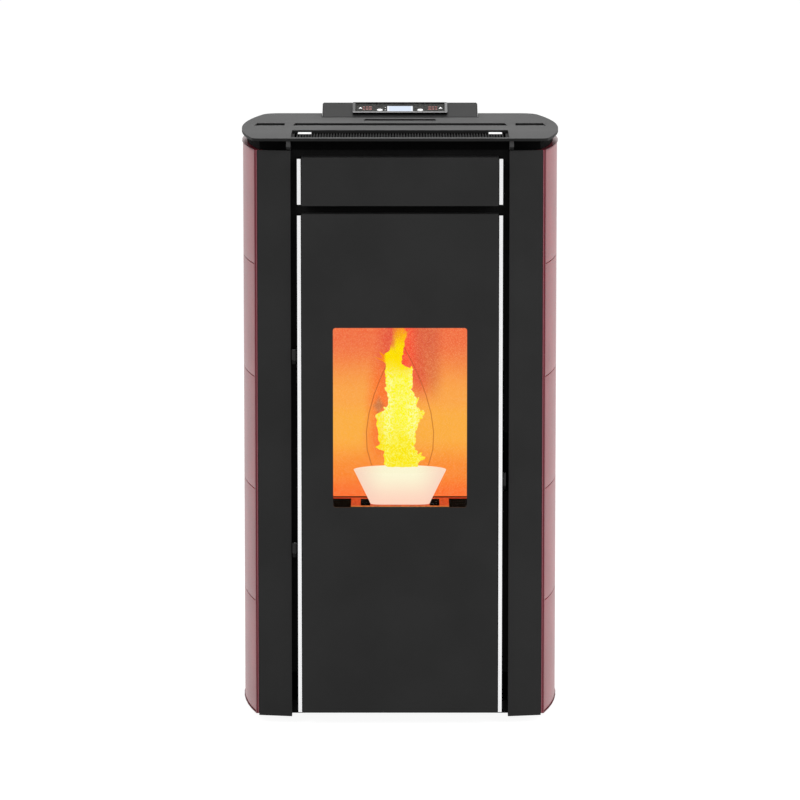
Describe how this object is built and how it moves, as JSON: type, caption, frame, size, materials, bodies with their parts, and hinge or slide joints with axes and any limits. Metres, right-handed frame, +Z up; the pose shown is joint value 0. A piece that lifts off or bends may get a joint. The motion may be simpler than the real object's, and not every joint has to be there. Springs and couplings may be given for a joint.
{
  "type": "pellet stove",
  "caption": "Free-standing pellet stove with curved tiled sides, a hinged hopper lid, a glazed door, a burn pot, an auger, fans and a rear flue collar.",
  "frame": {"origin": "on the floor under the middle of the bounding box", "axes": "+X to the right as one faces the stove, +Y to its rear, +Z up"},
  "size_m": [0.5, 0.42, 0.9476],
  "materials": {
    "black_paint": "fine satin black powder coat",
    "grey_paint": "fine-textured dark grey powder coat",
    "wine_red_paint": "satin wine red paint",
    "wine_red_glaze": "glossy wine red glaze with pillowed edges",
    "bright_trim": "bright anodised extrusion",
    "rubber_foot": "matt black pad",
    "zinc_steel": "zinc-plated sheet",
    "ceramic_glass": "clear heat-resisting glass",
    "cast_iron": "matt heat-resisting black",
    "rope_seal": "woven glass-fibre rope",
    "lining_plate": "matt pressed lining plate",
    "bare_steel": "plain rolled steel",
    "fired_clay": "pale refractory",
    "black_plastic": "matt moulded black",
    "display_plastic": null,
    "white_plastic": "satin white buttons",
    "circuit_board": "green board with components"
  },
  "bodies": {
    "stove": {"air_inlet_pipe": "zinc_steel", "ash_drawer": "zinc_steel", "auger_motor": "black_paint", "auger_tube": "bare_steel", "base_pan": "black_paint", "burn_pot_holder": "bare_steel", "control_bezel": "black_plastic", "control_board": "circuit_board", "control_housing": "grey_paint", "display_panel": "display_plastic", "door_hinge_pin_lower": "zinc_steel", "door_hinge_pin_upper": "zinc_steel", "firebox": "cast_iron", "firebox_back_liner": "lining_plate", "flue_fan_housing": "bare_steel", "front_frame": "black_paint", "front_pillar_left": "black_paint", "front_pillar_right": "black_paint", "hopper": "zinc_steel", "igniter": "bare_steel", "mains_inlet": "black_plastic", "rear_panel": "black_paint", "room_blower_housing": "zinc_steel", "side_carrier_left": "wine_red_paint", "side_carrier_right": "wine_red_paint", "side_tile_left_1": "wine_red_glaze", "side_tile_left_2": "wine_red_glaze", "side_tile_left_3": "wine_red_glaze", "side_tile_left_4": "wine_red_glaze", "side_tile_left_5": "wine_red_glaze", "side_tile_right_1": "wine_red_glaze", "side_tile_right_2": "wine_red_glaze", "side_tile_right_3": "wine_red_glaze", "side_tile_right_4": "wine_red_glaze", "side_tile_right_5": "wine_red_glaze", "top_frame": "black_paint", "top_grille": "grey_paint", "top_plate": "grey_paint", "upper_front_panel": "black_paint", "upper_trim_left": "bright_trim", "upper_trim_right": "bright_trim"},
    "door": {"door_panel": "black_paint", "door_trim_left": "bright_trim", "door_trim_right": "bright_trim", "door_glass": "ceramic_glass", "door_back_plate": "cast_iron", "door_seal": "rope_seal"},
    "latch": {"latch_lever": "black_paint"},
    "lid": {"hopper_lid": "grey_paint"},
    "pot": {"burn_pot": "fired_clay"},
    "left_button": {"button_left": "white_plastic"},
    "right_button": {"button_right": "white_plastic"},
    "rocker": {"power_switch": "black_plastic"},
    "screw": {"auger_screw": "bare_steel"},
    "flue_wheel": {"flue_fan_wheel": "zinc_steel"},
    "blower_wheel": {"room_blower_wheel": "black_plastic"},
    "foot_front_left": {"levelling_foot_front_left": "rubber_foot"},
    "foot_front_right": {"levelling_foot_front_right": "rubber_foot"},
    "foot_rear_left": {"levelling_foot_rear_left": "rubber_foot"},
    "foot_rear_right": {"levelling_foot_rear_right": "rubber_foot"}
  },
  "joints": [
    {"name": "door_swing", "type": "hinge", "parent": "stove", "child": "door", "pos_m": [-0.1647, -0.196, 0.42], "axis": [0, 0, -1], "range_deg": [0, 110]},
    {"name": "latch_turn", "type": "hinge", "parent": "door", "child": "latch", "pos_m": [0.157, -0.192, 0.386], "axis": [-1, 0, 0], "range_deg": [0, 12]},
    {"name": "lid_tilt", "type": "hinge", "parent": "stove", "child": "lid", "pos_m": [0, 0.18, 0.9192], "axis": [-1, 0, 0], "range_deg": [0, 75]},
    {"name": "pot_lift", "type": "slide", "parent": "stove", "child": "pot", "axis": [0, 0, 1], "range_m": [0, 0.06]},
    {"name": "left_button_press", "type": "slide", "parent": "stove", "child": "left_button", "axis": [0, 0.272, -0.9623], "range_m": [0, 0.0008], "stiffness_N_per_m": 300, "springref_m": -0.002},
    {"name": "right_button_press", "type": "slide", "parent": "stove", "child": "right_button", "axis": [0, 0.272, -0.9623], "range_m": [0, 0.0008], "stiffness_N_per_m": 300, "springref_m": -0.002},
    {"name": "rocker_tip", "type": "hinge", "parent": "stove", "child": "rocker", "pos_m": [0.169, 0.1701, 0.09], "axis": [-1, 0, 0], "range_deg": [0, 16]},
    {"name": "screw_turn", "type": "hinge", "parent": "stove", "child": "screw", "pos_m": [0, 0.065, 0.6], "axis": [0, 0, 1], "continuous": true},
    {"name": "flue_fan_turn", "type": "hinge", "parent": "stove", "child": "flue_wheel", "pos_m": [-0.075, 0.06, 0.351], "axis": [0, 1, 0], "continuous": true},
    {"name": "blower_turn", "type": "hinge", "parent": "stove", "child": "blower_wheel", "pos_m": [0, -0.06, 0.0958], "axis": [1, 0, 0], "continuous": true},
    {"name": "foot_front_left_turn", "type": "hinge", "parent": "stove", "child": "foot_front_left", "pos_m": [-0.19, -0.1, 0.02], "axis": [0, 0, 1], "continuous": true},
    {"name": "foot_front_right_turn", "type": "hinge", "parent": "stove", "child": "foot_front_right", "pos_m": [0.19, -0.1, 0.02], "axis": [0, 0, 1], "continuous": true},
    {"name": "foot_rear_left_turn", "type": "hinge", "parent": "stove", "child": "foot_rear_left", "pos_m": [-0.19, 0.12, 0.02], "axis": [0, 0, 1], "continuous": true},
    {"name": "foot_rear_right_turn", "type": "hinge", "parent": "stove", "child": "foot_rear_right", "pos_m": [0.19, 0.12, 0.02], "axis": [0, 0, 1], "continuous": true}
  ]
}
